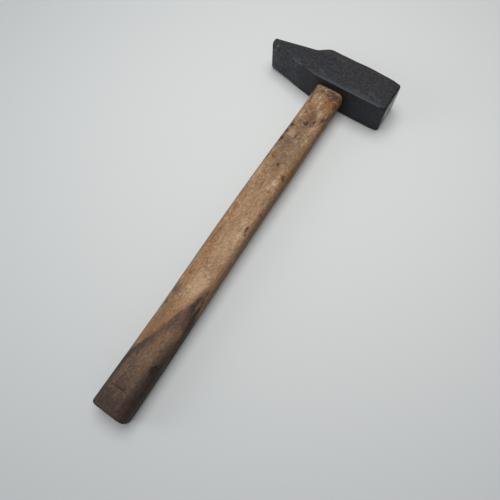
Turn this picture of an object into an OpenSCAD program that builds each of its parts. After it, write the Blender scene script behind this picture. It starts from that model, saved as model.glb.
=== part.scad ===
// Cross-peen engineer's hammer: a forged steel head, wedged on a wooden handle.
// The hammer lies on one cheek. X runs along the head towards the striking face,
// Y runs along the handle towards the top of the hammer, and Z runs up through
// both cheeks. The origin is on the lower cheek, below the middle of the eye.

/* [Head] */
// Width of the body, from the handle side to the top side
body_w = 33; // [28:0.5:40]
// Height of the body, from cheek to cheek
body_h = 33; // [28:0.5:40]
// Middle of the eye to the striking face
face_reach = 54; // [44:0.5:65]
// Middle of the eye to the tip of the peen
peen_reach = 68; // [57:0.5:82]
// Radius of the peen's edge
nose_r = 3.6; // [1.5:0.1:4.5]
// Radius of the peen's two corners, where its edge meets the cheeks
nose_corner_r = 3; // [1:0.5:6]
// Height of the step between the body's top side and the peen
step_h = 4.8; // [1:0.2:6]
// Length over which that step falls to the peen
step_run = 14; // [8:0.5:18]
// Bevel along the head's long edges
edge_bevel = 1; // [0.5:0.1:2.5]
// Depth of the bevel round the striking face, along the head
face_bevel = 1.5; // [0.8:0.1:4]
// Width of the same bevel, across the face
face_rim = 2.2; // [1:0.1:5]

/* [Eye] */
// Length of the eye at the handle side, along the head
eye_l = 27.4; // [22.8:0.2:33]
// Width of the eye at the handle side, from cheek to cheek
eye_w = 16.4; // [13.6:0.2:19.8]
// Corner radius of the eye at the handle side
eye_r = 5.8; // [4:0.2:6.6]
// How much each wall closes in at the eye's waist
waist_in = 0.5; // [0.2:0.1:0.8]
// Handle side to the eye's waist
waist_depth = 12; // [8:0.5:16]
// How much each wall opens from the waist to the top side
flare_out = 2; // [1:0.1:2.6]
// Flat left at each end of the eye, before the peen and its step begin
eye_land = 1.2; // [0.5:0.1:3]

/* [Handle] */
// Length of the handle outside the head
shaft_l = 325.5; // [270:0.5:400]
// How far the shaft stands out round the eye, to seat on the head
seat_lip = 0.25; // [0.1:0.05:0.5]
// Head to the end of the neck
neck_run = 28; // [15:1:50]
// Shaft width at the end of the neck
neck_w = 26.6; // [22:0.2:32]
// Shaft thickness at the end of the neck
neck_t = 18.6; // [15.4:0.2:22.4]
// Corner radius of the shaft at the end of the neck
neck_r = 6.8; // [5:0.1:7.6]
// Head to the start of the grip
grip_run = 210; // [120:1:240]
// Shaft width at the start of the grip
grip_w = 28.4; // [23.6:0.2:34.2]
// Shaft thickness at the start of the grip
grip_t = 22.4; // [18.6:0.2:27]
// Shaft width at the butt
butt_w = 30.4; // [25.2:0.2:36.6]
// Shaft thickness at the butt
butt_t = 23.6; // [19.6:0.2:28.4]
// Corner radius of the shaft from the start of the grip to the butt
grip_r = 9; // [6:0.1:9.2]
// Radius round the edge of the butt
butt_r = 2.2; // [1:0.2:4.6]
// How far the tenon stands above the head's top side
tenon_proud = 1.2; // [0.2:0.1:3]

/* [Wedges] */
// Depth of the wood wedge, down from the tenon's end
wedge_l = 23; // [15:0.5:27]
// Thickness of the wood wedge at the tenon's end
wedge_t = 4.4; // [3:0.1:5.5]
// Thickness of the wood wedge at its tip
wedge_tip_t = 1; // [0.5:0.1:2]
// Outer diameter of the ring wedge at the tenon's end
ring_d = 14; // [11:0.2:15]
// Wall of the ring wedge at the tenon's end
ring_wall = 1.9; // [1.4:0.1:2.4]
// Wall of the ring wedge at its cutting edge
ring_edge = 0.5; // [0.3:0.1:0.8]
// Depth of the ring wedge, down from the tenon's end
ring_l = 10; // [6:0.5:13]

/* [Hidden] */
$fn = 96;

cut = 1;                                  // how far a cutting shape runs past what it cuts
curve_steps = 24;                         // straight pieces in the step's curve
corner_steps = 8;                         // straight pieces in each corner of the shaft
blend_steps = 6;                          // rings between two named sections of the shaft
butt_steps = 4;                           // rings round the edge of the butt

half_w = body_w / 2;
mid_z = body_h / 2;
eye_end = eye_l / 2 + eye_land;           // where the flat beside the eye stops
head_l = peen_reach + face_reach;

// Peen: two flat sides that touch the round nose and reach the body at the end of the eye's flat
peen_y = -step_h / 2;                     // middle plane of the peen
nose_x = nose_r - peen_reach;             // axis of the round nose
root_dx = -eye_end - nose_x;
root_dy = half_w + peen_y;
peen_angle = atan(root_dy / root_dx) - asin(nose_r / norm([root_dx, root_dy]));
peen_slope = tan(peen_angle);

// Eye: the corner centres stay put, and the corner radius changes with depth
eye_core = [eye_l / 2 - eye_r, eye_w / 2 - eye_r];
waist_r = eye_r - waist_in;
top_r = waist_r + flare_out;
tenon_top = half_w + tenon_proud;

// Half the peen's thickness at a place along the head
function peen_half(x) = nose_r / cos(peen_angle) + (x - nose_x) * peen_slope;

// A smooth ramp from 0 to 1
function ease(t) = t * t * (3 - 2 * t);

// Top side of the head along the step: flat at the eye's end, then down to the peen
function step_y(t) =
    let (x = -eye_end - t * step_run)
    [x, half_w + (peen_y + peen_half(x) - half_w) * ease(t)];

// One section of the shaft: a rectangle with round corners, as points in X and Z
function shaft_section(w, t, r) =
    [for (corner = [0:3]) for (i = [0:corner_steps])
        let (a = 90 * (corner + i / corner_steps))
        let (cx = (w / 2 - r) * (corner == 0 || corner == 3 ? 1 : -1))
        let (cz = (t / 2 - r) * (corner < 2 ? 1 : -1))
        [cx + r * cos(a), cz + r * sin(a)]];

// Shaft sections as [distance from the head, width, thickness, corner radius]
shaft_ends = [
    [0, eye_l + 2 * seat_lip, eye_w + 2 * seat_lip, eye_r + seat_lip],
    [neck_run, neck_w, neck_t, neck_r],
    [grip_run, grip_w, grip_t, grip_r],
    [shaft_l - butt_r, butt_w, butt_t, grip_r]
];
shaft_rings = [for (k = [0:len(shaft_ends) - 2]) for (i = [0:blend_steps - 1])
    let (a = shaft_ends[k], b = shaft_ends[k + 1], t = i / blend_steps)
    concat([a[0] + (b[0] - a[0]) * t], [for (n = [1:3]) a[n] + (b[n] - a[n]) * ease(t)])];
butt_rings = [for (i = [0:butt_steps])
    let (a = 90 * i / butt_steps, inset = butt_r * (1 - cos(a)))
    [shaft_l - butt_r + butt_r * sin(a), butt_w - 2 * inset, butt_t - 2 * inset, grip_r - inset]];

// Outline of the head seen from above a cheek, without its round nose
module head_outline() {
    nose_dx = nose_r * sin(peen_angle);
    nose_dy = nose_r * cos(peen_angle);
    polygon(concat(
        [for (i = [0:curve_steps]) step_y(i / curve_steps)],
        [[nose_x - nose_dx, peen_y + nose_dy], [nose_x - nose_dx, peen_y - nose_dy]],
        [[-eye_end, -half_w]],
        [[face_reach - face_bevel, -half_w], [face_reach, face_rim - half_w]],
        [[face_reach, half_w - face_rim], [face_reach - face_bevel, half_w]]
    ));
    translate([nose_x, peen_y]) circle(r = nose_r);
}

// Outline of the head seen along the handle, with X across and Z up
module head_side() {
    back = -peen_reach;
    polygon([
        [back + nose_corner_r, 0],
        [face_reach - face_bevel, 0],
        [face_reach, face_rim],
        [face_reach, body_h - face_rim],
        [face_reach - face_bevel, body_h],
        [back + nose_corner_r, body_h],
        [back, body_h - nose_corner_r],
        [back, nose_corner_r]
    ]);
    for (z = [nose_corner_r, body_h - nose_corner_r])
        translate([back + nose_corner_r, z]) circle(r = nose_corner_r);
}

// Section of the body, with Y across and Z up: a square with its four edges bevelled
module head_section() {
    polygon([
        [-half_w, edge_bevel], [edge_bevel - half_w, 0],
        [half_w - edge_bevel, 0], [half_w, edge_bevel],
        [half_w, body_h - edge_bevel], [half_w - edge_bevel, body_h],
        [edge_bevel - half_w, body_h], [-half_w, body_h - edge_bevel]
    ]);
}

// Part of the eye between two depths, where the corner radius goes from one value to another
module eye_stage(y0, y1, r0, r1) {
    translate([0, y0, mid_z]) rotate([-90, 0, 0]) {
        for (sx = [-1, 1]) for (sz = [-1, 1])
            translate([sx * eye_core.x, sz * eye_core.y, 0]) cylinder(h = y1 - y0, r1 = r0, r2 = r1);
        rotate([90, 0, 90]) translate([0, 0, -eye_core.x]) linear_extrude(2 * eye_core.x)
            polygon([[-eye_core.y - r0, 0], [eye_core.y + r0, 0],
                     [eye_core.y + r1, y1 - y0], [-eye_core.y - r1, y1 - y0]]);
        rotate([90, 0, 0]) translate([0, 0, -eye_core.y]) linear_extrude(2 * eye_core.y)
            polygon([[-eye_core.x - r0, 0], [eye_core.x + r0, 0],
                     [eye_core.x + r1, y1 - y0], [-eye_core.x - r1, y1 - y0]]);
    }
}

// The eye's inside: straight below the head, tapered to the waist, flared to the top, straight above
module eye_shape() {
    eye_stage(-half_w - cut, -half_w, eye_r, eye_r);
    eye_stage(-half_w, waist_depth - half_w, eye_r, waist_r);
    eye_stage(waist_depth - half_w, half_w, waist_r, top_r);
    eye_stage(half_w, tenon_top, top_r, top_r);
}

// Space that the wood wedge takes, right across the tenon
module wedge_space() {
    translate([-eye_l, tenon_top, mid_z]) rotate([90, 0, 90]) linear_extrude(2 * eye_l)
        polygon([[0, -wedge_t / 2], [0, wedge_t / 2], [-wedge_l, wedge_tip_t / 2], [-wedge_l, -wedge_tip_t / 2]]);
}

// Space that the ring wedge takes: a straight bore, and an outside that tapers to the cutting edge
module ring_space() {
    bore_r = ring_d / 2 - ring_wall;
    translate([0, tenon_top, mid_z]) rotate([90, 0, 0]) rotate_extrude()
        polygon([[bore_r, 0], [ring_d / 2, 0], [bore_r + ring_edge, ring_l], [bore_r, ring_l]]);
}

// The shaft's rings joined into one closed skin, from the head to the butt
module shaft() {
    rings = concat(shaft_rings, butt_rings);
    around = 4 * (corner_steps + 1);
    last = len(rings) - 1;
    polyhedron(
        points = [for (ring = rings) for (p = shaft_section(ring[1], ring[2], ring[3]))
            [p.x, -half_w - ring[0], mid_z + p.y]],
        faces = concat(
            [[for (i = [0:around - 1]) i]],
            [for (k = [0:last - 1]) for (i = [0:around - 1])
                let (j = (i + 1) % around)
                [k * around + i, (k + 1) * around + i, (k + 1) * around + j, k * around + j]],
            [[for (i = [around - 1:-1:0]) last * around + i]]
        )
    );
}

module head() {
    color("#4b4c51") difference() {
        intersection() {
            linear_extrude(body_h) head_outline();
            translate([0, half_w + cut, 0]) rotate([90, 0, 0])
                linear_extrude(body_w + 2 * cut) head_side();
            translate([-peen_reach - cut, 0, 0]) rotate([90, 0, 90])
                linear_extrude(head_l + 2 * cut) head_section();
        }
        eye_shape();
    }
}

module handle() {
    color("#b08a5e") difference() {
        union() {
            shaft();
            eye_shape();
        }
        wedge_space();
        ring_space();
    }
}

module wood_wedge() {
    color("#cdb088") difference() {
        intersection() {
            eye_shape();
            wedge_space();
        }
        ring_space();
    }
}

module ring_wedge() {
    color("#8d9094") ring_space();
}

head();
handle();
wood_wedge();
ring_wedge();
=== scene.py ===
import random
from functools import partial
from math import cos, pi, radians, sin, sqrt

import bmesh
import bpy
import numpy as np
from mathutils import Matrix, Vector, noise


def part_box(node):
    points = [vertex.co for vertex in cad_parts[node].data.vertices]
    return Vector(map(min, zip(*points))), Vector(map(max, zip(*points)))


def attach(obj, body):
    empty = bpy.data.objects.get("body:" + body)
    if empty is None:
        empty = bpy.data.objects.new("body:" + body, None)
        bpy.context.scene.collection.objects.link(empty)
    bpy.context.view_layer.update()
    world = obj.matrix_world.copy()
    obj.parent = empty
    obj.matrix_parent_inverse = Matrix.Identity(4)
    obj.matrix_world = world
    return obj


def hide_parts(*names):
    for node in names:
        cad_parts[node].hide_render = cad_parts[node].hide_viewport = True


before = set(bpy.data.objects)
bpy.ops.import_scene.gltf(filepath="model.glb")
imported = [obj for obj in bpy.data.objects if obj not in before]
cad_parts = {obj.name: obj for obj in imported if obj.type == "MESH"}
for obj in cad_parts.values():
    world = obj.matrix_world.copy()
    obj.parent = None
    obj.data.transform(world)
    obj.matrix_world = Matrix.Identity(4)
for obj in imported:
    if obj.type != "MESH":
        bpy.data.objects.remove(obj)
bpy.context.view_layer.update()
mm = 0.001  # the sizes below are in millimetres


def nodeBox(name):
    low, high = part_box(name)
    return low / mm, high / mm


headLow, headHigh = nodeBox("head")
handleLow = nodeBox("handle")[0]
woodLow, woodHigh = nodeBox("wood_wedge")
ringLow, ringHigh = nodeBox("ring_wedge")
middle = (headLow + headHigh) / 2  # its Z is the plane halfway between the cheeks


def ease(t):
    t = np.clip(t, 0, 1)
    return t * t * (3 - 2 * t)


def hump(t):
    return np.exp(-t * t)


def mix(a, b, t):
    return a + (b - a) * t


def between(x, start, rise, end, fall):
    # 1 between two places and 0 outside them, and over how far it rises and falls
    return ease((x - start) / rise) * (1 - ease((x - end) / fall))


def linearColour(code):
    parts = [int(code[i:i + 2], 16) / 255 for i in (1, 3, 5)]
    return [p / 12.92 if p <= 0.04045 else ((p + 0.055) / 1.055) ** 2.4 for p in parts] + [1]


def socketOf(sockets, key):
    return sockets[key] if isinstance(key, int) else next(s for s in sockets if s.name == key and s.enabled)


def addNode(tree, kind, links=(), **settings):
    # links give each input, by name or in order, a node, a (node, output) pair, a hex colour or a value
    node = tree.nodes.new(kind if "Node" in kind else "ShaderNode" + kind)
    for name, value in settings.items():
        setattr(node, name, value)
    for key, value in links.items() if isinstance(links, dict) else enumerate(links):
        socket = socketOf(node.inputs, key)
        if isinstance(value, bpy.types.Node):
            value = value, next(s.name for s in value.outputs if s.enabled)
        if isinstance(value, tuple) and isinstance(value[0], bpy.types.Node):
            tree.links.new(socketOf(value[0].outputs, value[1]), socket)
        else:
            socket.default_value = linearColour(value) if isinstance(value, str) else value
    return node


def roundedSection(width, height, radii, flatSteps, cornerSteps):
    # points round a rectangle centred on zero, one radius for each corner
    corners = [(1, 1), (-1, 1), (-1, -1), (1, -1)]
    if not isinstance(radii, tuple):
        radii = (radii,) * 4

    def onCorner(quarter, turn):
        (sx, sy), r = corners[quarter % 4], radii[quarter % 4]
        return sx * (width / 2 - r) + r * cos(turn), sy * (height / 2 - r) + r * sin(turn)

    places = []
    for quarter in range(4):
        places += [onCorner(quarter, pi / 2 * (quarter + i / cornerSteps)) for i in range(cornerSteps + 1)]
        start, end = places[-1], onCorner(quarter + 1, pi / 2 * (quarter + 1))
        places += [tuple(mix(a, b, i / flatSteps) for a, b in zip(start, end)) for i in range(1, flatSteps)]
    return places


def bandFaces(count, first, second):
    # faces between two rings of points
    return [(first + i, first + (i + 1) % count, second + (i + 1) % count, second + i) for i in range(count)]


def closedMesh(name, points, faces):
    mesh = bpy.data.meshes.new(name)
    mesh.from_pydata(points, [], faces)
    tidyNormals(mesh)
    return mesh


def tidyNormals(mesh):
    shape = bmesh.new()
    shape.from_mesh(mesh)
    bmesh.ops.remove_doubles(shape, verts=shape.verts, dist=1e-4)
    bmesh.ops.dissolve_degenerate(shape, edges=shape.edges, dist=1e-4)
    bmesh.ops.recalc_face_normals(shape, faces=shape.faces)
    shape.to_mesh(mesh)
    shape.free()
    mesh.update()


def loftMesh(name, rings, ends="fan"):
    # joins rings of points into one closed skin; each end is a fan round its middle or one flat face
    count = len(rings[0])
    points = [p for ring in rings for p in ring]
    last = len(points) - count
    faces = [face for k in range(len(rings) - 1) for face in bandFaces(count, k * count, (k + 1) * count)]
    for base, ring in ((0, rings[0]), (last, rings[-1])):
        if ends == "fan":
            points.append(tuple(sum(p[n] for p in ring) / count for n in range(3)))
            faces += [(base + i, base + (i + 1) % count, len(points) - 1) for i in range(count)]
        else:
            faces.append(tuple(base + i for i in range(count)))
    return closedMesh(name, points, faces)


def newPiece(name, mesh):
    piece = bpy.data.objects.new(name, mesh)
    bpy.context.scene.collection.objects.link(piece)
    return piece


def plainMesh(piece):
    # the evaluated piece as a plain mesh, with its modifiers gone
    graph = bpy.context.evaluated_depsgraph_get()
    mesh = bpy.data.meshes.new_from_object(piece.evaluated_get(graph))
    piece.modifiers.clear()
    piece.data = mesh


def carve(piece, cutterMesh):
    cutter = newPiece("cutter", cutterMesh)
    tool = piece.modifiers.new("carve", "BOOLEAN")
    tool.operation = "DIFFERENCE"
    tool.solver = "EXACT"
    tool.object = cutter
    plainMesh(piece)
    bpy.data.objects.remove(cutter)


def roughen(mesh, waves):
    # moves each point along its normal by smooth noise; each wave is a width and a height
    mesh.update()
    for vertex, normal in zip(mesh.vertices, [n.vector.copy() for n in mesh.vertex_normals]):
        vertex.co += normal * sum(height * noise.noise(vertex.co / width) for width, height in waves)


def pointsOf(mesh):
    # where the points are, which way they face, and noise 1.6 mm and 5 mm wide at each
    mesh.update()
    spots = np.array([v.co[:] for v in mesh.vertices])
    facing = np.array([n.vector[:] for n in mesh.vertex_normals])
    fine, broad = (np.array([noise.noise(v.co / width) for v in mesh.vertices]) for width in (1.6, 5))
    return spots, facing, fine, broad


def paintAttribute(mesh, name, values):
    layer = mesh.attributes.new(name, "FLOAT", "POINT")
    layer.data.foreach_set("value", np.clip(values, 0, 1).astype(np.float32))


def finishPiece(piece, material, sharpAngle):
    # from millimetres to metres, with one material and its sharp edges marked
    mesh = piece.data
    mesh.transform(Matrix.Scale(mm, 4))
    mesh.materials.clear()
    mesh.materials.append(material)
    shape = bmesh.new()
    shape.from_mesh(mesh)
    for face in shape.faces:
        face.smooth = True
    for edge in shape.edges:
        edge.smooth = len(edge.link_faces) == 2 and edge.calc_face_angle(pi) < radians(sharpAngle)
    shape.to_mesh(mesh)
    shape.free()
    mesh.update()


# The eye through the head, and the tenon in it. A size is its length, width and corner radius.
eye = {
    "mouth": (27.4, 16.4, 5.8),  # where the handle enters
    "waist": (26.4, 15.4, 5.3),
    "waistY": -4.5,
    "top": (30.4, 19.4, 7.3),
    "flare": 1.1,  # how far both ends of the eye are rounded back
    "flareDepth": 0.9,
    "flareSteps": 4,
    "steps": 12,
    "overrun": (0.2, 1.5),  # how far outside the head the cutter has its last rows
    "overrunGrow": 0.4,  # how much wider they are
}


def eyeSize(y):
    mouth, waist, top = Vector(eye["mouth"]), Vector(eye["waist"]), Vector(eye["top"])
    if y < eye["waistY"]:
        return mouth.lerp(waist, max(0, (y - headLow.y) / (eye["waistY"] - headLow.y)))
    return waist.lerp(top, min(1, (y - eye["waistY"]) / (headHigh.y - eye["waistY"])))


head = {
    "noseRadius": 2.2,
    "noseBlunt": 3.6,  # 2 is a round nose, more is a flatter one
    "noseCorners": (2.0, 0.6),  # at the lower and the upper cheek
    "peenMiddle": -2.0,  # the peen's middle plane
    "peenSlope": 0.208,  # how fast half its thickness grows from the nose
    "noseHalf": 3.4,  # half the thickness that its flats would have at the nose
    "nearSide": 16.25,  # from the eye's middle to the side that the handle comes out of
    "farSide": 16.8,
    "step": (-30.0, -15.5),  # where the far side steps down from the body to the peen
    "nearBlend": 1.44,  # how softly the peen's near flat runs into the body's
    # where the forging stands out: X, half length and height; then where it thins: from X, over, how much
    "nearSwells": [(0, 15, 0.5)],
    "farSwells": [(-14, 4.5, 0.2), (18, 8, 0.4)],
    "farThins": (22, 30, 1.0),
    "faceThins": (46, 6, 0.7, 0.5),  # at the face, on the near and the far side
    "cheekInset": 0.15,
    # radii of the near and far ridges, on the peen, which is rubbed rounder, on the body and by the face,
    # then from which X the peen's turns into the body's, and over how far
    "ridges": [(3.6, 1.1, 2.0, -50, 18), (1.5, 1.1, 2.5, -62, 20)],
    "faceRidges": (43, 9),  # from which X the ridges turn into those by the face, and over how far
    "endRoom": 0.1,  # left at both ends for its unevenness
    "faceEdge": 2.4,
    "crown": 0.3,
    "faceLean": (0.05, 8),  # how far the face leans back at the upper cheek, and over what length
    "noseTurns": (4, 12, 21, 31, 42, 54, 66, 78),  # degrees round the nose at which it has rings
    "ringStep": 1.0,
    "edgeSteps": 5,
    "crownSteps": 16,
    "flatSteps": 30,
    "cornerSteps": 5,
    "waves": [(14, 0.12), (5, 0.06)],  # unevenness that the forging left
    "faceWear": (0.93, 0.05, 0.8, 0.5),  # from which slant, over how much, how strong, how far broken up
    # wear, and a painted highlight along the ridges: from which X and over how far it starts, then ends
    "ridgeWearAndHighlight": (-38, 30, 46, 3),
    "ridgeStrength": 0.5,
    "bandWearAndHighlight": (-30, 22, 42, 8),  # a band on the upper cheek along the near ridge, burnished and painted paler as a highlight
    "bandStrength": 0.2,
    "bandPlace": (0.8, 2.2),  # how far in from the ridge, and half its width
    "peenWear": (-40, 14),  # on the near side, where it ends
    "tipWearAndHighlight": (0.3, 0.3, -64, 3),  # its strength, how much more by the peen's edge, where the rounded nose gets a painted highlight, and X and width there
    "cheekDepth": 1.6,  # how far below the upper cheek its marks reach
    "mouthGrimeAndShade": (0.85, 4),  # strength and reach of the dirt and painted shade round the mouth of the eye
    "faceGrime": (0.5, 4),  # strength and half width, in a band across the face
    "peenGrime": 0.6,
    "farRust": (0.24, 2.5),  # strength and width, along the upper cheek's far ridge
    # marks on the upper cheek: from X, Y to X, Y, half width, strength
    "marks": {
        "worn": [(-61.8, -5.4, -61.6, -5.5, 0.85, 1.0)],
        "grimeAndShade": [
            (44, 3, 50.5, -1.5, 1.6, 0.45), (40, -9, 49, -4, 1.2, 0.4), (28, 2, 29, 9, 1.6, 0.3),
            (3.5, -12.3, 13.7, -3.5, 0.7, 0.5), (-40, -11.8, -33.7, -13.6, 0.7, 0.9),
            (-45.9, -10.7, -40.5, -12.0, 0.6, 0.8), (-48, -12.4, -46.5, -12.8, 0.9, 0.7),
            (-61, -8.3, -54, -11.7, 1.8, 0.8), (-62, -2, -34, 2, 10, 0.1),
        ],
        "burnishAndHighlight": [
            (34, -8, 45, -10, 1.6, 0.15), (20, -12, 31, -13, 1.6, 0.15), (-16, -8, -9, -12, 1.6, 0.15),
            (-38, -8.4, -37, -8.8, 0.7, 0.5), (-44, -9.8, -33, -12.2, 0.6, 0.5),
            (-56, -9, -50, -10, 0.8, 0.3),
        ],
        "rust": [(-12.4, 12.4, -1, 11.4, 2.6, 0.14), (-22, 12, -15, 13, 2.5, 0.15)],
    },
    "scaleDark": "#050507",
    "scaleLight": "#363740",
    "brownTint": "#d8d2cd",
    "blueTint": "#c2c8dc",
    # how each kind of mark colours the scale, and how strongly
    "colours": [("burnishAndHighlight", "#5a5c66", 1.0), ("rust", "#4a3c33", 1.0), ("grimeAndShade", "#060505", 0.8)],
    "bareDark": "#45423f",
    "bareLight": "#b7b7b6",
}


def headSection(x):
    # at a place along the head: lowest and highest Y, lowest and highest Z, near and far corner radii
    half = head["noseHalf"] + head["peenSlope"] * (x - headLow.x)
    near, reach = head["nearSide"], half - head["peenMiddle"]
    # the smaller of the two, blended
    low = -(near + reach - sqrt((near - reach) ** 2 + head["nearBlend"])) / 2
    nearSwell, farSwell = (sum(height * hump((x - place) / long) for place, long, height in head[side])
                           for side in ("nearSwells", "farSwells"))
    start, over, nearLess, farLess = head["faceThins"]
    thinned = (max(0, x - start) / over) ** 2
    low += nearLess * thinned + nearSwell
    start, over, less = head["farThins"]
    farSwell -= less * ease((x - start) / over)
    farSwell -= farLess * thinned
    start, end = head["step"]
    high = mix(head["peenMiddle"] + half, head["farSide"] + farSwell, ease((x - start) / (end - start)))
    start, over = head["faceRidges"]
    byFace = ease((x - start) / over)
    radii = [mix(mix(peen, body, ease((x - turn) / turnOver)), face, byFace)
             for peen, body, face, turn, turnOver in head["ridges"]]
    return low, high, headLow.z + head["cheekInset"], headHigh.z - head["cheekInset"], *radii


def headRings():
    rings = []
    tip, r = headLow.x + head["endRoom"], head["noseRadius"]
    noseEnd = tip + r
    faceStart = headHigh.x - head["endRoom"] - head["crown"] - head["faceEdge"]
    steps = int((faceStart - noseEnd) / head["ringStep"])
    stations = [tip + r * (1 - cos(radians(a))) for a in head["noseTurns"]]
    stations += [mix(noseEnd, faceStart, i / steps) for i in range(steps + 1)]
    for x in stations:
        low, high, bottom, top, nearRadius, farRadius = headSection(x)
        nose = min(1, (x - tip) / r)
        if nose < 1:
            endLow, endHigh = headSection(noseEnd)[:2]
            centre = (low + high) / 2
            half = (endHigh - endLow) / 2 * (1 - (1 - nose) ** head["noseBlunt"]) ** (1 / head["noseBlunt"])
            low, high = centre - half, centre + half
        lower, upper = (c * (1 - sqrt(1 - (1 - min(1, (x - tip) / c)) ** 2)) for c in head["noseCorners"])
        bottom, top = bottom + lower, top - upper
        nearRadius, farRadius = (min(v, (high - low) * 0.49) for v in (nearRadius, farRadius))
        section = roundedSection(high - low, top - bottom, (farRadius, nearRadius, nearRadius, farRadius),
                                 head["flatSteps"], head["cornerSteps"])
        rings.append([(x, a + (low + high) / 2, b + (bottom + top) / 2) for a, b in section])

    # the rim of the face, rounded, then its crown
    outline, edge = rings[-1], head["faceEdge"]
    centreY = sum(p[1] for p in outline) / len(outline)
    halfZ = (headHigh.z - headLow.z) / 2
    for i in range(1, head["edgeSteps"] + 1):
        a = pi / 2 * i / head["edgeSteps"]
        place, scale = faceStart + edge * sin(a), 1 - edge * (1 - cos(a)) / halfZ
        rings.append([(place, mix(centreY, y, scale), mix(middle.z, z, scale)) for x, y, z in outline])
    rim = rings[-1]
    for i in range(1, head["crownSteps"]):
        scale = 1 - i / head["crownSteps"]
        rise = head["crown"] * (1 - scale * scale)
        rings.append([(x + rise, mix(centreY, y, scale), mix(middle.z, z, scale)) for x, y, z in rim])
    lean, over = head["faceLean"]
    return [[(x - lean * z / headHigh.z * ease((x - faceStart + over) / over), y, z) for x, y, z in ring]
            for ring in rings]


def eyeCutter():
    low, high, depth, turns = headLow.y, headHigh.y, eye["flareDepth"], eye["flareSteps"]
    inner, outer = eye["overrun"]
    rows = [low - outer, low - inner] + [low + depth * i / turns for i in range(1, turns + 1)]
    rows += [mix(low + depth, high - depth, i / eye["steps"]) for i in range(1, eye["steps"])]
    rows += [high - depth * (1 - i / turns) for i in range(turns)] + [high + inner, high + outer]
    rings = []
    for y in rows:
        long, wide, radius = eyeSize(y)
        out = max(0, 1 - (y - low) / depth, 1 - (high - y) / depth)
        grow = eye["flare"] * (1 - sqrt(1 - min(out, 1) ** 2)) + (eye["overrunGrow"] if out > 1 else 0)
        section = roundedSection(long + 2 * grow, wide + 2 * grow, radius + grow, 6, 8)
        rings.append([(a, y, b + middle.z) for a, b in section])
    return loftMesh("eyeCutter", rings, "flat")


def wearHead(mesh):
    # rubs the face bright, burnishes the ridges and paints a highlight along them, darkens the mouth of the
    # eye with dirt and painted shade, and adds the cheek's marks
    spots, facing, fine, broad = pointsOf(mesh)
    x, y, z = spots.T
    upperCheek = z > headHigh.z - head["cheekDepth"]
    nearSide = facing[:, 1] < -0.6
    start, over, strength, broken = head["faceWear"]
    worn = ease((facing[:, 0] - start + 0.04 * broad) / over)
    worn *= strength + broken * np.clip(broad + 0.5 * fine, -1, 1)
    # rubbed ridges, painted paler still as a highlight along their rounded edges
    ridge = ease((np.minimum(abs(facing[:, 1]), abs(facing[:, 2])) - 0.25) / 0.35)
    ridge *= between(x, *head["ridgeWearAndHighlight"]) * (0.9 + 0.2 * fine)
    places = np.linspace(headLow.x, headHigh.x, 200)
    nearEdge, farEdge = (np.interp(x, places, [headSection(place)[i] for place in places]) for i in (0, 1))
    inward, wide = head["bandPlace"]
    band = upperCheek * (facing[:, 2] > 0.8) * hump((y - nearEdge - inward) / wide)
    band *= between(x, *head["bandWearAndHighlight"]) * (head["bandStrength"] + 0.08 * fine + 0.06 * broad)
    end, over = head["peenWear"]
    peen = nearSide * (1 - ease((x - end) / over))
    # the near side of the peen is burnished in patches, and painted paler by the nose as a highlight where
    # its rounding turns to the light
    strength, more, place, wide = head["tipWearAndHighlight"]
    tip = strength + more * hump((x - place) / wide)
    peenBurnishAndHighlight = peen * ease((0.3 + fine + 0.4 * broad) / 0.6) * tip
    burnishAndHighlight = np.maximum(np.maximum(head["ridgeStrength"] * ridge, band), peenBurnishAndHighlight)

    # distance from the mouth of the eye
    long, wide, radius = eye["mouth"]
    mouth = np.hypot(np.maximum(0, abs(x) - long / 2), np.maximum(0, abs(z - middle.z) - wide / 2))
    # dirt and painted shade, darkest on the sides right where the handle comes out of the eye
    strength, reach = head["mouthGrimeAndShade"]
    grimeAndShade = strength * hump(mouth / reach) * (abs(facing[:, 1]) > 0.3)
    strength, reach = head["faceGrime"]
    slanting = hump((y + 0.15 * (z - middle.z)) / reach)
    grimeAndShade = np.maximum(grimeAndShade, strength * (facing[:, 0] > 0.9) * slanting * (0.7 + fine))
    grimeAndShade = np.maximum(grimeAndShade, head["peenGrime"] * peen * ease((-0.15 - fine) / 0.2))
    strength, reach = head["farRust"]
    rust = strength * upperCheek * hump((farEdge - y - 1) / reach) * (0.6 + broad)

    paint = {"worn": worn, "grimeAndShade": grimeAndShade, "burnishAndHighlight": burnishAndHighlight, "rust": rust}
    for kind, marks in head["marks"].items():
        for startX, startY, endX, endY, halfWidth, strength in marks:
            run = np.array((endX - startX, endY - startY))
            away = spots[:, :2] - (startX, startY)
            t = np.clip(away @ run / (run @ run), 0, 1)
            reach = np.linalg.norm(away - t[:, None] * run, axis=1) / halfWidth + 0.4 * fine
            amount = upperCheek * strength * (1 - ease((reach - 0.5) / 0.8))
            paint[kind] = np.maximum(paint[kind], amount)
    for name, values in paint.items():
        paintAttribute(mesh, name, values)


def makeHead(material):
    mesh = loftMesh("headForging", headRings())
    roughen(mesh, head["waves"])
    piece = newPiece("headForging", mesh)
    carve(piece, eyeCutter())
    wearHead(piece.data)
    finishPiece(piece, material, 40)
    return piece


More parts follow.
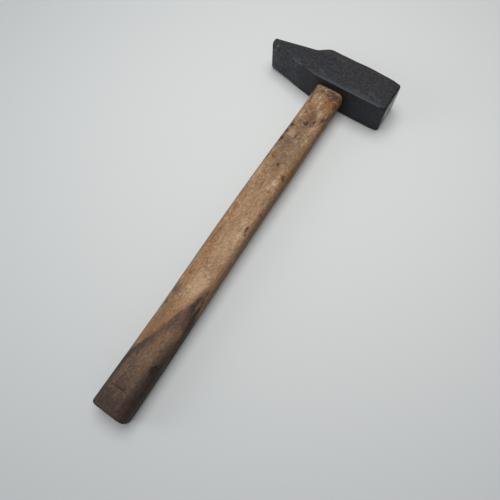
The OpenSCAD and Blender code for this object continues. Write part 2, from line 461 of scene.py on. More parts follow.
handle = {
    # inputs of the Geometry Nodes tree that shapes it; "from" and "to" are distances from the tenon's end
    "loft": {
        "Around": 168,
        "Along": 440,
        "Top": 17.4,  # Y of the tenon's sawn end
        "Butt": handleLow.y + 0.45,
        "Top edge": 0.3,
        "Butt edge": 2.2,
        "Bow": 0.25,
        "Bow from": 34.0,
        "Bow to": 50.0,
        "Bow crest": 64.0,
        "Bow length": 232.0,
        "Lean": 0.6,  # how far the butt is to the right of a straight line
        "Lean from": 150.0,
        "Lean to": 350.0,
        "Butt slant": 0.2,
        "Slant from": 345.0,
        "Slant to": 358.0,
        "Wander": 0.35,
        "Seed": 7.0,
    },
    # distance from the tenon's end, then width, thickness and corner radius, and how the size gets there
    "stations": [
        ("Tenon top", 0.0, (30.3, 19.3, 7.25), "LINEAR"),
        ("Tenon waist", 22.0, (26.3, 15.3, 5.25), "LINEAR"),
        ("Tenon mouth", 33.9, (27.3, 16.3, 5.75), "LINEAR"),
        ("Shoulder", 35.6, (28.3, 17.2, 6.4), "ROUND"),
        ("Neck", 62.0, (27.0, 18.7, 6.7), "SMOOTHSTEP"),
        ("Palm", 142.0, (28.4, 20.9, 7.2), "SMOOTHSTEP"),
        ("Grip", 250.0, (28.9, 22.5, 7.8), "SMOOTHSTEP"),
        ("Butt size", 356.0, (30.2, 23.4, 7.6), "SMOOTHSTEP"),
    ],
    # the wood's own tones, from its darkest patches to its palest
    "tones": ((0.37, "#7a5a3f"), (0.46, "#937254"), (0.54, "#a68667"), (0.64, "#ba9c7f")),
    "earlyWood": "#84603f",
    "pore": "#5d4530",
    "speck": "#66472c",
    "pith": (46.0, -62.0),  # X and Z of the middle of the growth rings
    "ringGap": 2.4,
    # noise stretched along the grain: cells to a millimetre across and along it, detail, roughness, shift
    "grain": {
        "waves": (0.03, 0.006, 2.0, 0.5, (0, 0, 0)),
        "fibres": (1.4, 0.07, 4.0, 0.6, (0, 0, 0)),
        "patches": (0.1, 0.04, 4.0, 0.5, (0, 0, 0)),
        "pores": (1.3, 0.17, 2.0, 0.5, (7, 3, 11)),
        "specks": (0.6, 0.45, 3.0, 0.6, (31, 5, 2)),
    },
    # strokes that slant across the grain: width, length and roughness, then how far they turn
    "strokes": {"flecks": (1.2, 2.9, 0.7), "streaks": (1.1, 2.9, 0.75)},
    "slant": -0.19,
    "bruised": (-130, -30),  # Y from which the streaks grow, and where they are strongest
    # how each kind of mark colours the wood, how strongly, and how far noise breaks it up
    "colours": [
        ("umber", "#7b5838", 0.85, 0.6), ("dirtAndShade", "#63503f", 0.9, 0.5), ("pale", "#c8ad8c", 0.75, 0.8),
        ("amber", "#875b36", 0.8, 0.6), ("ash", "#776c63", 0.75, 0.9), ("stain", "#362b28", 1.0, 0.12),
        ("plum", "#5e4238", 0.7, 0.6), ("sootAndShade", "#291e17", 0.92, 0.4),
    ],
    # marks on the upper side: Y, X, half length, half width, strength; where it is rubbed the stain is thin
    "marks": {
        "umber": [
            (-22, 11, 4, 4, 0.9), (-24, 9, 8, 6, 0.6), (-30, 2, 22, 20, 0.42), (-33, 6, 6, 5, 0.4),
            (-60, -11, 40, 3, 0.15), (-66, -9.5, 4, 3, 0.6), (-102, 0, 9, 1.6, 0.7), (-108, 0, 12, 4, 0.4),
            (-150, 13, 60, 2, 0.3), (-181, -8, 3, 1.5, 0.9), (-190, -9.5, 6, 1.2, 0.9),
            (-198, -9, 40, 5, 0.45), (-236, -9, 18, 5, 0.5), (-262, -8, 24, 5, 0.4),
        ],
        "dirtAndShade": [
            (-22, -10, 5, 5, 0.4), (-23, -7, 5, 4, 0.55), (-62, 3, 44, 18, 0.26), (-70, 0, 14, 14, 0.42),
            (-80, -3, 26, 10, 0.65), (-82, -4.5, 3.5, 5, 0.9), (-86, 2, 22, 16, 0.42),
            (-116, 5, 16, 8, 0.2), (-138, 2, 14, 8, 0.2), (-240, -9, 5, 3, 0.7), (-256, -8, 18, 4, 0.45),
            (-276, -8, 12, 3, 0.4),
        ],
        "amber": [
            (-23, 10.5, 4, 3, 0.8), (-24, 0, 3, 5, 0.7), (-29, -6, 5, 1.2, 0.6), (-31, 8.5, 8, 4, 0.95),
            (-36, 4, 4, 3, 0.9), (-42, 9, 6, 3, 0.3), (-47, -9, 6, 2, 0.5), (-68, 4, 6, 3, 0.4),
            (-86, 10, 9, 3, 0.4), (-97, -9, 7, 2, 0.35), (-112, 13, 16, 1.5, 0.5), (-131, -9, 6, 1.5, 0.3),
            (-158, -9, 6, 1.5, 0.8), (-165, -7.5, 12, 2, 0.5), (-183, -9, 5, 1.5, 0.9),
            (-207, -8, 8, 2, 0.4), (-210, -6, 22, 3.5, 0.45), (-222, -9, 8, 1.5, 0.8),
            (-262, -1.5, 12, 3, 0.35), (-271, 10, 6, 4, 0.5), (-281, 3, 9, 3, 0.6),
        ],
        "plum": [
            (-21, -3, 2.5, 6, 0.3), (-24, 7, 7, 5, 0.95), (-43, -5.5, 3, 2, 0.6), (-50, 1, 8, 4, 0.85),
            (-50, 10, 5, 2, 0.6), (-56, 3.5, 5, 4.5, 0.85), (-66, 0, 5, 5, 0.3), (-110, 0, 7, 3, 0.35),
            (-115, 10, 4, 2.5, 0.5), (-236, 10.5, 7, 2.5, 0.7), (-256, 8, 9, 4, 0.6),
            (-269, 2, 8, 3.5, 0.3), (-282, -3.5, 8, 3.5, 0.4), (-296, 4, 16, 6, 0.25),
            (-313, 13, 9, 1.5, 0.6), (-333, 9, 9, 5, 0.5),
        ],
        "rubbed": [
            (-241, 12.5, 7, 1, 0.35), (-254, 6, 6, 3, 0.14), (-269, 11.5, 6, 3, 0.28),
            (-272, 7, 5, 3, 0.25), (-273, -1, 8, 4, 0.12), (-281, 2.5, 9, 3.5, 0.26),
            (-292, -2, 8, 3, 0.12), (-296, 2, 12, 5, 0.08), (-305, -8, 16, 2, 0.12), (-317, 5, 10, 3, 0.06),
            (-326, -1, 4, 2.5, 0.08),
        ],
        "sootAndShade": [
            # the first two make a dark band where the wood goes into the head: dirt and a painted contact
            # shadow
            (-19.5, 5, 1.5, 9, 0.5), (-20, 10, 3, 6, 0.4), (-22, -12.6, 5, 1.6, 0.8), (-23, 2, 1, 3, 0.5),
            (-26, -5.5, 2, 0.8, 0.5), (-31, 3, 1.5, 0.8, 0.5), (-31, -10, 5, 0.8, 0.7),
            (-42, 12.6, 7, 0.8, 0.5), (-42.5, -3.5, 1.2, 1.2, 0.5), (-48, -6.5, 1.8, 1.3, 0.7),
            (-48, 10, 3, 1, 0.4), (-59, 4.5, 0.9, 2.5, 0.5), (-60, 0.3, 2.6, 3.2, 0.9),
            (-65, -6, 1.2, 0.9, 0.4), (-66, -9.5, 2, 1.3, 0.8), (-69, 8.5, 1.2, 0.6, 0.5),
            (-71, -0.3, 1.4, 0.7, 0.5), (-79, -10, 2.5, 1, 0.5), (-92, -4, 1.1, 0.6, 0.4),
            (-99, -8, 1.2, 0.7, 0.4), (-102.5, -11.8, 2.2, 1, 0.7), (-114, 8.5, 1.2, 1, 0.4),
            (-127, 11.5, 1, 0.9, 0.6), (-137, 11, 1, 0.8, 0.5), (-153, 12.5, 1.3, 0.9, 0.6),
            (-159, 2.5, 0.8, 0.8, 0.4), (-240, 10.5, 3, 1, 0.4), (-253, -10.5, 1.8, 1, 0.7),
            (-272, 6.5, 6, 0.8, 0.3), (-299, 11.5, 4, 2.5, 0.95), (-303, 12.5, 12, 2, 0.5),
            (-312, 13.5, 22, 2.5, 0.7), (-331, 10.5, 14, 4, 0.7),
        ],
        "ash": [
            (-46, -12, 14, 1.6, 0.4), (-72, -12, 25, 1.2, 0.35), (-77, 3, 4.5, 3, 0.55),
            (-82, -3, 3, 4, 0.35), (-96, 6, 3, 2, 0.4), (-98, -1.5, 5, 2, 0.4), (-108, -1, 10, 3, 0.25),
            (-134, -3, 2, 2, 0.6), (-170, 7, 3, 1.5, 0.4),
        ],
        "pale": [
            (-28, -3, 4, 1, 0.7), (-29.5, -6, 2, 4, 0.6), (-34, -4, 4, 4, 0.35), (-34, 1, 2.5, 3, 0.5),
            (-35, -12.2, 6, 1.2, 0.7), (-38, 1, 5, 1.5, 0.6), (-45, 5, 5, 3, 0.5), (-53, -9, 4, 2, 0.4),
            (-60, 7, 4, 2, 0.4), (-73, -5, 4.5, 4, 0.45), (-116, 7.6, 1.2, 1, 0.8), (-123, 7, 3, 2.5, 0.75),
            (-128, 6, 3, 2, 0.4), (-167, 5, 5, 3, 0.55), (-178, 7, 5, 2.5, 0.55), (-190, 4, 26, 5, 0.35),
            (-226, 3, 14, 7, 0.5), (-249, 5, 2.5, 2, 0.35),
        ],
    },
    # dents in the upper side: Y, X, half length, half width, depth
    "dents": [
        (-30, 12.6, 4, 1, 0.3), (-47.5, 11.4, 3, 1.2, 0.3), (-66, -11.5, 2.6, 1.5, 0.4),
        (-73.5, -11.8, 3, 1.5, 0.4), (-74, -1.3, 2.8, 0.9, 0.5), (-82.5, -11.2, 3, 1.9, 0.45),
        (-107.5, 0.9, 2.6, 0.9, 0.45), (-115.5, 11, 2.2, 2, 0.3), (-171, 9.8, 3, 1, 0.35),
        (-241, -11, 3, 1.4, 0.25), (-299, 11.8, 3, 2, 0.5), (-322.3, 1, 0.7, 5.2, 0.5),
    ],
    "dentDirt": {"sootAndShade": (1.5, 0.6), "dirtAndShade": (2.5, 1)},  # how fast dirt grows with depth, and the most
    "strayMarks": 420,  # smaller marks strewn all round, more of them by the head
    "strayDents": 14,
    "straySeed": 11,
    "strayPlace": (-19, 315, 2.2),  # from which Y, over how far, and how much they crowd at the start
    "strayRadius": 13,  # about the handle's own, which turns an angle into a length
    "strayLong": (0.6, 2.4),  # half length, half width and strength, from the least to the most
    "strayWide": (0.5, 1.3),
    "strayStrength": (0.3, 0.7),
    "strayKinds": ("umber", "amber", "plum", "sootAndShade", "sootAndShade", "dirtAndShade", "ash", "pale", "pale"),
    "stain": {
        "from": -259.5,  # Y where it begins on the middle line
        "slope": 2.6,  # how fast its edge moves along as X grows
        "flank": (12.5, 12.8, 4.2),  # X where the edge stops, then where it turns back and how fast
        "wobble": 3.0,
        "strength": 0.54,
        "atButt": (0.36, -275, 57),  # how much darker, from which Y and over how far
        "atEdge": (0.27, 11, 13),  # how much darker, how far inside the edge and how wide
        "atRight": (0.2, 6, 4),  # how much darker, from which X and over how far
        "most": 0.92,
        "fade": (4, 9, 16),  # how far before the edge it starts, over how far, how much softer at the left
        "amber": (0.6, 3, 4),  # the brown before it: how strong, how far off and how wide
        "umber": (0.65, 34, 14, 6),  # how strong, how far off, over how far, and the same to the left
    },
    # painted shade on the narrow sides, darker towards the bottom: from which slant of the surface, over how
    # much, how strong, how far noise breaks it up, and how much more there is below
    "sides": {
        "umber": (0.72, 0.25, 0.6, 0.4, 0), "sootAndShade": (0.72, 0.25, 0.22, 0.2, 0.35),
        "dirtAndShade": (0.4, 0.4, 0.35, 0.25, 0),
    },
    "rim": (1.2, {"pale": 0.25, "ash": 0.3}),  # by the head: how wide, and the strength of each kind
    "sawnAsh": 0.45,
}


def handleTree():
    # a grid bent into the handle: its columns go round the section and its rows run from end to end
    tree = bpy.data.node_groups.new("handleLoft", "GeometryNodeTree")
    add = partial(addNode, tree)
    sockets = tree.interface
    sockets.new_socket("Geometry", in_out="INPUT", socket_type="NodeSocketGeometry")
    for name in handle["loft"]:
        kind = "NodeSocketInt" if name in ("Around", "Along") else "NodeSocketFloat"
        sockets.new_socket(name, in_out="INPUT", socket_type=kind)
    for name, distance, size, course in handle["stations"]:
        sockets.new_socket(name + " at", in_out="INPUT", socket_type="NodeSocketFloat")
        sockets.new_socket(name, in_out="INPUT", socket_type="NodeSocketVector")
    sockets.new_socket("Material", in_out="INPUT", socket_type="NodeSocketMaterial")
    sockets.new_socket("Geometry", in_out="OUTPUT", socket_type="NodeSocketGeometry")
    given = add("NodeGroupInput")
    topEdge, buttEdge = (given, "Top edge"), (given, "Butt edge")

    columns = add("Math", [(given, "Around"), 1.0], operation="ADD")
    rows = add("Math", [(given, "Along"), 1.0], operation="ADD")
    grid = add("GeometryNodeMeshGrid", {
        "Size X": 1.0, "Size Y": 1.0, "Vertices X": columns, "Vertices Y": rows})
    spot = add("GeometryNodeInputPosition")
    place = add("SeparateXYZ", [spot])
    turn = add("Math", [(place, "X"), 2 * pi], operation="MULTIPLY")
    along = add("Math", [(place, "Y"), 0.5], operation="ADD")

    # a few rows close each end and a few round its edge; the rest make the body
    capEnd, edgeEnd = 0.022, 0.036
    topCap = add("MapRange", [along, 0.0, capEnd])
    topArc = add("MapRange", [along, capEnd, edgeEnd, 0.0, pi / 2])
    body = add("MapRange", [along, edgeEnd, 1 - edgeEnd])
    buttArc = add("MapRange", [along, 1 - edgeEnd, 1 - capEnd, 0.0, pi / 2])
    buttCap = add("MapRange", [along, 1 - capEnd, 1.0, 1.0, 0.0])
    spread = add("Math", [topCap, buttCap], operation="MULTIPLY")

    # distance from the tenon's end, and how far the rounded edges pull in
    length = add("Math", [(given, "Top"), (given, "Butt")], operation="SUBTRACT")
    for edge in (topEdge, buttEdge):
        length = add("Math", [length, edge], operation="SUBTRACT")
    topDrop, topIn, buttIn = (
        add("Math", [1.0, add("Math", [arc], operation=wave)], operation="SUBTRACT")
        for arc, wave in ((topArc, "COSINE"), (topArc, "SINE"), (buttArc, "COSINE")))
    buttDrop = add("Math", [buttArc], operation="SINE")
    distance = add("Math", [length, body], operation="MULTIPLY")
    inset = 0.0
    for drop, pull, edge in ((topDrop, topIn, topEdge), (buttDrop, buttIn, buttEdge)):
        distance = add("Math", [drop, edge, distance], operation="MULTIPLY_ADD")
        inset = add("Math", [pull, edge, inset], operation="MULTIPLY_ADD")

    # width, thickness and corner radius, one station after another
    stations = handle["stations"]
    size = (given, stations[0][0])
    for before, station in zip(stations, stations[1:]):
        course = "SMOOTHSTEP" if station[3] == "SMOOTHSTEP" else "LINEAR"
        start, end = (given, before[0] + " at"), (given, station[0] + " at")
        share = add("MapRange", [distance, start, end], interpolation_type=course)
        if station[3] == "ROUND":
            share = add("Math", [share], operation="SQRT")
        size = add("Mix", {"Factor": share, "A": size, "B": (given, station[0])}, data_type="VECTOR")
    parts = add("SeparateXYZ", [size])
    radius = add("Math", [(parts, "Z"), inset], operation="SUBTRACT")

    # across a flat the points spread with the angle, and past it they follow the corner's arc
    sides = []
    for part, wave in (("X", "COSINE"), ("Y", "SINE")):
        wave = add("Math", [turn], operation=wave)
        core = add("Math", [(parts, part), 0.5], operation="MULTIPLY")
        core = add("Math", [core, (parts, "Z")], operation="SUBTRACT")
        flat = add("MapRange", [wave, -1 / 3, 1 / 3, -1.0])
        flat = add("Math", [flat, core], operation="MULTIPLY")
        out = add("Math", [radius, wave, flat], operation="MULTIPLY_ADD")
        sides.append(add("Math", [out, spread], operation="MULTIPLY"))
    across, upward = sides

    # the bow along the shaft, the butt's lean, and the slant of its end, whose size is reached 15 mm out
    bowed, leaning, slanted = (
        add("MapRange", [distance, (given, name + " from"), (given, name + " to")],
            interpolation_type=course)
        for name, course in (("Bow", "SMOOTHSTEP"), ("Lean", "SMOOTHSTEP"), ("Slant", "LINEAR")))
    phase = add("Math", [distance, (given, "Bow crest")], operation="SUBTRACT")
    phase = add("Math", [phase, (given, "Bow length")], operation="DIVIDE")
    phase = add("Math", [phase, 2 * pi], operation="MULTIPLY")
    phase = add("Math", [phase], operation="COSINE")
    bow = add("Math", [(given, "Bow"), bowed], operation="MULTIPLY")
    across = add("Math", [bow, phase, across], operation="MULTIPLY_ADD")
    across = add("Math", [(given, "Lean"), leaning, across], operation="MULTIPLY_ADD")
    slant = add("Math", [(given, "Butt slant"), slanted], operation="MULTIPLY")
    slant = add("Math", [slant, -1 / 15], operation="MULTIPLY")
    y = add("Math", [(given, "Top"), distance], operation="SUBTRACT")
    y = add("Math", [slant, across, y], operation="MULTIPLY_ADD")
    z = add("Math", [upward, middle.z], operation="ADD")
    spot = add("CombineXYZ", [across, y, z])

    # the unevenness of a shaved shaft, some 14 mm across the grain and 40 mm along it
    stretched = add("VectorMath", [spot, (0.07, 0.025, 0.07)], operation="MULTIPLY")
    cloud = add("TexNoise", {
        "Vector": stretched, "W": (given, "Seed"), "Scale": 1.0, "Detail": 3.0}, noise_dimensions="4D")
    drift = add("VectorMath", [(cloud, "Color"), (0.5, 0.5, 0.5)], operation="SUBTRACT")
    reach = add("Math", [(given, "Wander"), bowed], operation="MULTIPLY")
    reach = add("Math", [reach, 2.0], operation="MULTIPLY")
    drift = add("VectorMath", {0: drift, "Scale": reach}, operation="SCALE")
    spot = add("VectorMath", [spot, drift], operation="ADD")

    moved = add("GeometryNodeSetPosition", {"Geometry": grid, "Position": spot})
    merged = add("GeometryNodeMergeByDistance", {"Geometry": moved, "Distance": 0.001})
    real = add("GeometryNodeRealizeInstances", {"Geometry": merged})
    painted = add("GeometryNodeSetMaterial", {"Geometry": real, "Material": (given, "Material")})
    add("NodeGroupOutput", {"Geometry": painted})
    return tree


def runTree(name, tree, values):
    piece = newPiece(name, bpy.data.meshes.new(name))
    modifier = piece.modifiers.new("shape", "NODES")
    modifier.node_group = tree
    for item in tree.interface.items_tree:
        if item.item_type == "SOCKET" and item.in_out == "INPUT" and item.name in values:
            modifier[item.identifier] = values[item.name]
    plainMesh(piece)
    return piece


def ageHandle(mesh):
    # presses in the dents, then paints each kind of mark and the painted shade on the narrow sides
    spots, facing, fine, broad = pointsOf(mesh)
    x, y, z = spots.T
    shaft = y < headLow.y - 1
    upper = shaft & (z > middle.z + 2)
    around = np.arctan2(z - middle.z, x)
    wobble = 0.8 * fine + 0.3 * broad
    paint = {name: np.zeros(len(x)) for name, code, strength, broken in handle["colours"]}
    paint["rubbed"] = np.zeros(len(x))
    pressed = np.zeros(len(x))

    def patch(reach, strength):
        return strength * (1 - ease((reach + wobble - 0.55) / 0.75))

    def addPaint(kind, amount):
        paint[kind] = np.maximum(paint[kind], amount)

    for kind, marks in handle["marks"].items():
        for markY, markX, long, wide, strength in marks:
            addPaint(kind, upper * patch(np.hypot((y - markY) / long, (x - markX) / wide), strength))
    for markY, markX, long, wide, depth in handle["dents"]:
        amount = upper * patch(np.hypot((y - markY) / long, (x - markX) / wide), depth)
        pressed = np.maximum(pressed, amount)
    dice = random.Random(handle["straySeed"])
    start, over, crowding = handle["strayPlace"]
    for i in range(handle["strayMarks"] + handle["strayDents"]):
        markY = start - over * dice.random() ** crowding
        apart = (around - dice.uniform(-pi, pi) + pi) % (2 * pi) - pi
        long, wide = dice.uniform(*handle["strayLong"]), dice.uniform(*handle["strayWide"])
        reach = np.hypot((y - markY) / long, apart * handle["strayRadius"] / wide)
        kind, strength = dice.choice(handle["strayKinds"]), dice.uniform(*handle["strayStrength"])
        if i < handle["strayMarks"]:
            addPaint(kind, shaft * patch(reach, strength))
        else:
            pressed = np.maximum(pressed, (shaft & ~upper) * patch(reach, strength))
    for kind, (share, most) in handle["dentDirt"].items():
        addPaint(kind, np.minimum(pressed * share, most))

    # the stain ends in a slanting edge, darkest just inside it and again at the butt, with brown before it
    stain = handle["stain"]
    stop, turn, back = stain["flank"]
    across = np.minimum(x, stop) - back * np.maximum(0, x - turn)
    past = stain["from"] + stain["slope"] * across - y + stain["wobble"] * (broad + 0.6 * fine)
    dark, start, over = stain["atButt"]
    depth = stain["strength"] + dark * np.clip((start - y) / over, 0, 1)
    dark, inside, over = stain["atEdge"]
    depth += dark * hump((past - inside) / over)
    dark, start, over = stain["atRight"]
    depth += dark * ease((x - start) / over)
    depth = np.minimum(depth, stain["most"]) * (1 - paint.pop("rubbed"))
    early, over, softer = stain["fade"]
    paint["stain"] = depth * ease((past + early) / (over + np.clip(4 - x, 0, softer) / 2))
    before = 1 - ease(past / 3)
    strength, early, wide = stain["amber"]
    addPaint("amber", strength * hump((past + early) / wide) * before)
    strength, early, over, left = stain["umber"]
    addPaint("umber", strength * ease((past + early) / over) * before * ease(-x / left))

    # painted shade along the narrow sides, darker towards the bottom
    under = ease((middle.z + 3 - z) / 8)
    for kind, (start, over, strength, broken, below) in handle["sides"].items():
        flank = shaft * ease((abs(facing[:, 0]) - start) / over)
        addPaint(kind, flank * (strength + broken * wobble + below * under))

    # bruised fibres where the wood meets the head, and a grey sawn end
    wide, kinds = handle["rim"]
    for kind, strength in kinds.items():
        addPaint(kind, strength * hump((y - headLow.y + wide) / wide))
    paint["ash"] = np.where(shaft, paint["ash"], handle["sawnAsh"])
    mesh.vertices.foreach_set("co", (spots - facing * pressed[:, None]).ravel())
    mesh.update()
    for name, values in paint.items():
        paintAttribute(mesh, name, values)


def makeHandle(material):
    values = dict(handle["loft"])
    for name, distance, size, course in handle["stations"]:
        values[name + " at"] = distance
        values[name] = size
    values["Material"] = material
    piece = runTree("ashHandle", handleTree(), values)
    tidyNormals(piece.data)
    carve(piece, wedgeMesh("kerf", wedge["kerfGap"], cutter=True))
    carve(piece, ringMesh("ringSlot", ring["slotGap"], cutter=True))
    ageHandle(piece.data)
    finishPiece(piece, material, 40)
    return piece


wedge = {
    "topThickness": 4.3,
    "tipThickness": 1.0,
    "edge": 0.35,
    "rows": 20,
    "sideGap": 0.1,
    "kerfGap": 0.05,
    "sunk": 0.08,  # how far its top is below the solid's
    "tones": ("#8a6a44", "#b9976a"),
    "fleck": "#6e4f30",
    # as the handle's
    "grain": {"fibres": (0.9, 0.12, 4.0, 0.6, (0, 0, 0)), "flecks": (2.6, 0.5, 2.0, 0.5, (0, 0, 0))},
}
ring = {
    "wall": 1.9,
    "tipWall": 0.5,
    "edge": 0.35,
    "around": 120,
    "slotGap": 0.04,
    "inset": 0.03,  # how far its outside is within the solid's
    "sunk": 0.12,
    "blows": [(3.5, 0.1), (1.4, 0.04)],  # dents from the hammer that drove it in
    "blowDepth": (1.5, 1.2),  # how far down from the top they fade in, and over how far
    "lineGap": 0.5,
    "oxide": "#4b443e",
    "bare": "#8d8b88",
}


def wedgeMesh(name, grow=0, cutter=False):
    # the wood wedge across the tenon, as wide as the eye at each depth
    rings = []
    for i in range(wedge["rows"] + 1):
        y = mix(woodHigh.y + (1 if cutter else -wedge["sunk"]), woodLow.y - grow, i / wedge["rows"])
        depth = (woodHigh.y - y) / (woodHigh.y - woodLow.y)
        thick = mix(wedge["topThickness"], wedge["tipThickness"], depth) + 2 * grow
        wide = eyeSize(y)[0] - 2 * wedge["sideGap"] + (4 if cutter else 0)
        section = roundedSection(wide, thick, min(wedge["edge"], thick * 0.45), 24, 3)
        rings.append([(a, y, b + middle.z) for a, b in section])
    return loftMesh(name, rings, "flat")


def ringMesh(name, grow=0, cutter=False):
    # the ring wedge: a straight bore, and an outside that tapers to the cutting edge
    outer = (ringHigh.x - ringLow.x) / 2 - ring["inset"]
    bore, top, tip = outer - ring["wall"], ringHigh.y - ring["sunk"], ringLow.y
    tipOuter, edge = bore + ring["tipWall"], 0 if cutter else ring["edge"]
    profile = [(bore - grow, tip - grow), (tipOuter + grow, tip - grow)]
    profile += [(mix(tipOuter, outer, t) + grow, mix(tip, top - edge, t)) for t in (0.25, 0.5, 0.75, 1)]
    if cutter:
        profile += [(outer + grow, top + 1), (bore - grow, top + 1)]
    else:
        arc = (pi / 6, pi / 3, pi / 2)
        profile += [(outer - edge * (1 - cos(a)), top - edge * (1 - sin(a))) for a in arc]
        profile += [(mix(outer - edge, bore + edge, t), top) for t in (0.33, 0.66, 1)]
        profile += [(bore + edge * (1 - sin(a)), top - edge * (1 - cos(a))) for a in arc]
    profile += [(bore - grow, mix(profile[-1][1], tip - grow, t)) for t in (0.33, 0.66)]
    count, turns = len(profile), ring["around"]
    points = [(r * cos(2 * pi * k / turns), y, r * sin(2 * pi * k / turns) + middle.z)
              for k in range(turns) for r, y in profile]
    faces = [face for k in range(turns) for face in bandFaces(count, k * count, (k + 1) % turns * count)]
    return closedMesh(name, points, faces)


def makeWedge(material):
    piece = newPiece("hardwoodWedge", wedgeMesh("hardwoodWedge"))
    carve(piece, ringMesh("ringSlot", ring["slotGap"], cutter=True))
    finishPiece(piece, material, 35)
    return piece


def makeRing(material):
    mesh = ringMesh("ringWedge")
    piece = newPiece("ringWedge", mesh)
    down, over = ring["blowDepth"]
    for vertex in mesh.vertices:
        fromTop = ease((vertex.co.y - ringHigh.y + down) / over)
        dent = sum(height * noise.noise(vertex.co / width) for width, height in ring["blows"])
        vertex.co.y -= fromTop * abs(dent)
    finishPiece(piece, material, 35)
    return piece


def newMaterial(name):
    # the material, and addNode for its tree
    material = bpy.data.materials.new(name)
    material.use_nodes = True
    material.node_tree.nodes.clear()
    return material, partial(addNode, material.node_tree)


def forgedSteel():
    # carbon steel black from the forge, with rubbed ridges and a struck face: the eye sees a dull mottled
    # charcoal, a greyer line along the ridges that is partly a painted highlight, and a scuffed bright face
    material, add = newMaterial("blackForgeScale")
    spot = (add("TexCoord"), "Object")
    place = add("Mapping", {"Vector": spot, "Scale": (1 / mm,) * 3})
    # scale flakes some 2 mm wide
    mottle = add("TexNoise", {"Vector": place, "Scale": 0.45, "Detail": 6.0, "Roughness": 0.75})
    flaked = add("MapRange", [mottle, 0.43, 0.59])
    scale = add("Mix", {
        "Factor": flaked, "A": head["scaleDark"], "B": head["scaleLight"]}, data_type="RGBA")
    # brownish and bluish clouds 20 mm wide
    cloud = add("TexNoise", {"Vector": place, "Scale": 0.05, "Detail": 1.0})
    cloud = add("MapRange", [cloud, 0.38, 0.6])
    tint = add("Mix", {"Factor": cloud, "A": head["brownTint"], "B": head["blueTint"]}, data_type="RGBA")
    scale = add("Mix", {"Factor": 0.9, "A": scale, "B": tint}, data_type="RGBA", blend_type="MULTIPLY")
    # the pits are under half a millimetre wide, and are drawn at about 1 mm so that they show
    pits = add("TexVoronoi", {"Vector": place, "Scale": 0.8})
    pits = add("MapRange", [pits, 0.12, 0.4, 1.0, 0.0])
    areas = add("TexNoise", {"Vector": place, "Scale": 0.18, "Detail": 2.0})
    areas = add("MapRange", [areas, 0.48, 0.6])
    pits = add("Math", [pits, areas], operation="MULTIPLY")
    dark = add("Math", [pits, 0.6], operation="MULTIPLY")
    scale = add("Mix", {"Factor": dark, "A": scale, "B": head["scaleDark"]}, data_type="RGBA")
    # the dark mark also holds painted shade round the mouth of the eye, and the paler scale a painted
    # highlight along the ridges and by the nose
    for name, code, strength in head["colours"]:
        painted = add("Attribute", attribute_name=name)
        share = add("Math", [(painted, "Fac"), strength], operation="MULTIPLY")
        scale = add("Mix", {"Factor": share, "A": scale, "B": code}, data_type="RGBA")
    # bare metal shows where the scale is rubbed off, scuffed across the face in strokes 1 to 4 mm long
    stroke = add("Mapping", {
        "Vector": spot, "Rotation": (0.6, 0, 0), "Scale": (0.9 / mm, 0.25 / mm, 0.8 / mm)})
    scuffs = add("TexNoise", {"Vector": stroke, "Scale": 1.0, "Detail": 4.0, "Roughness": 0.7})
    scuffed = add("MapRange", [scuffs, 0.36, 0.66])
    metal = add("Mix", {"Factor": scuffed, "A": head["bareDark"], "B": head["bareLight"]}, data_type="RGBA")
    worn = add("Attribute", attribute_name="worn")
    ragged = add("Math", [scuffs, 0.9, -0.4], operation="MULTIPLY_ADD")
    bare = add("Math", [(worn, "Fac"), ragged], operation="ADD", use_clamp=True)
    bare = add("Math", [bare, (worn, "Fac")], operation="MULTIPLY", use_clamp=True)
    colour = add("Mix", {"Factor": bare, "A": scale, "B": metal}, data_type="RGBA")
    metallic = add("MapRange", [bare, 0.0, 1.0, 0.1, 1.0])
    rough = add("MapRange", [mottle, 0.35, 0.65, 0.5, 0.68])
    rough = add("Mix", {"Factor": bare, "A": rough, "B": 0.4}, data_type="FLOAT")
    height = add("Math", [mottle, pits], operation="SUBTRACT")
    bumped = add("Bump", {"Height": height, "Strength": 0.6, "Distance": 0.3 * mm})
    surface = add("BsdfPrincipled", {
        "Base Color": colour, "Metallic": metallic, "Roughness": rough, "Normal": bumped,
        "Specular IOR Level": 0.4})
    add("OutputMaterial", {"Surface": surface})
    return material


def grainNoise(add, spot, patterns):
    # every pattern's noise, stretched along the grain
    made = {}
    for name, (across, along, detail, roughness, shift) in patterns.items():
        stretched = add("Mapping", {
            "Vector": spot, "Location": shift, "Scale": (across / mm, along / mm, across / mm)})
        made[name] = add("TexNoise", {
            "Vector": stretched, "Scale": 1.0, "Detail": detail, "Roughness": roughness})
    return made


